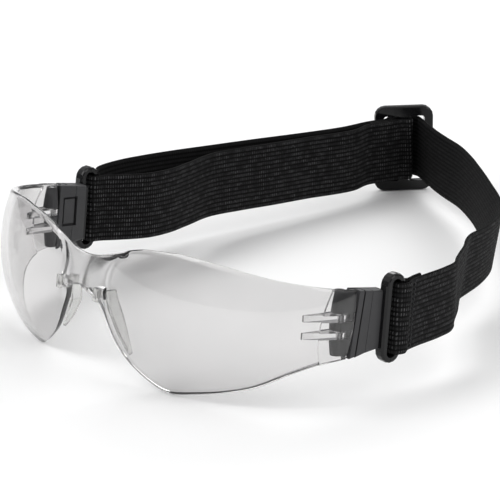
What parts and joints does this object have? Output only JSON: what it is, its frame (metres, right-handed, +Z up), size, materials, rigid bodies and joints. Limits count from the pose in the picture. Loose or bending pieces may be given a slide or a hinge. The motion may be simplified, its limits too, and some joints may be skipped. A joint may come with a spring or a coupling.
{
  "type": "safety goggles",
  "caption": "Wraparound clear safety goggles: one-piece double-lobed lens, nose pads, hinged black side pieces with strap rings, and an adjustable elastic head strap with slider.",
  "frame": {"origin": "middle of the bounding box's base, on the table the goggles stand on", "axes": "+Z up; -Y is the way the wearer would look; +X is the wearer's left"},
  "size_m": [0.1592, 0.2006, 0.0415],
  "materials": {
    "clear_polycarbonate": "gloss",
    "clear_soft_vinyl": "satin",
    "black_textured_nylon": "fine texture",
    "black_gloss_plastic": "gloss",
    "black_knit_elastic": "ribbed knit",
    "hinge_pin_steel": "satin"
  },
  "bodies": {
    "lens": {"lens": "clear_polycarbonate", "nose_pad_left": "clear_soft_vinyl", "nose_pad_right": "clear_soft_vinyl", "hinge_pin_left": "hinge_pin_steel", "hinge_pin_right": "hinge_pin_steel", "elastic_back": "black_knit_elastic", "elastic_outer_middle": "black_knit_elastic", "elastic_inner_middle": "black_knit_elastic", "elastic_left_side": "black_knit_elastic", "elastic_slider_side": "black_knit_elastic", "elastic_outer_rear": "black_knit_elastic", "elastic_outer_front": "black_knit_elastic", "elastic_inner_front": "black_knit_elastic", "elastic_inner_rear": "black_knit_elastic"},
    "left_arm": {"hinge_block_left": "black_textured_nylon", "strap_adapter_left": "black_textured_nylon", "elastic_left_loop": "black_knit_elastic"},
    "right_arm": {"hinge_block_right": "black_textured_nylon", "strap_adapter_right": "black_textured_nylon", "elastic_right_loop": "black_knit_elastic"},
    "slider": {"slider": "black_gloss_plastic", "elastic_slider_turn": "black_knit_elastic", "elastic_end_loop": "black_knit_elastic"}
  },
  "joints": [
    {"name": "left_fold", "type": "hinge", "parent": "lens", "child": "left_arm", "pos_m": [0.07263, -0.06135, 0.02293], "axis": [0, 0.1037, 0.9946], "range_deg": [0, 80], "deforming": ["elastic_left_side"]},
    {"name": "right_fold", "type": "hinge", "parent": "lens", "child": "right_arm", "pos_m": [-0.05797, -0.06135, 0.02293], "axis": [0, -0.1037, -0.9946], "range_deg": [0, 80], "deforming": ["elastic_outer_front", "elastic_inner_front"]},
    {"name": "slider_slide", "type": "slide", "parent": "lens", "child": "slider", "axis": [0.05, -0.9987, 0], "range_m": [-0.004, 0.014], "deforming": ["elastic_slider_side", "elastic_outer_rear", "elastic_inner_rear"]}
  ]
}
